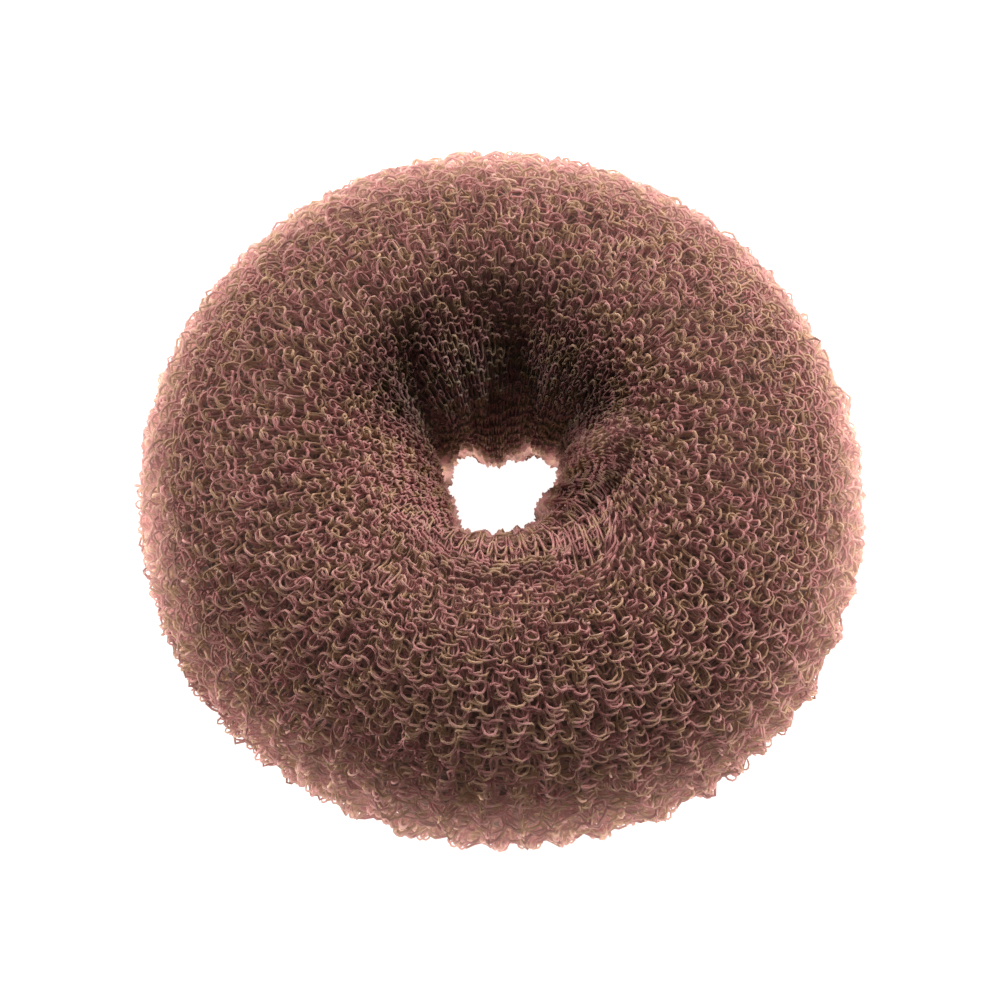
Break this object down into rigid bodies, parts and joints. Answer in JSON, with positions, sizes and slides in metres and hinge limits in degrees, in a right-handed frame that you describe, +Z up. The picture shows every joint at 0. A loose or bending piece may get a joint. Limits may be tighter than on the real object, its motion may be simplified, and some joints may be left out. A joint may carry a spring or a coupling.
{
  "type": "hair donut bun maker",
  "caption": "Soft ring rolled from a knitted nylon mesh tube, with a gathered hole; a ponytail goes through it and is wrapped round it as the padding of a bun.",
  "frame": {"origin": "on the surface the ring lies on, below the middle of the hole", "axes": "+Z up along the hole's axis, away from the surface; +X to the right and -Y towards the viewer of the picture; the ring is nearly round, so X and Y are told apart only by the folds of the hole"},
  "size_m": [0.09, 0.0901, 0.039],
  "materials": {
    "nylon_mesh": "knitted brown nylon monofilament, glossy strands, open loops with darker layers below"
  },
  "bodies": {
    "root": {"rolled_mesh": "nylon_mesh"}
  },
  "joints": []
}
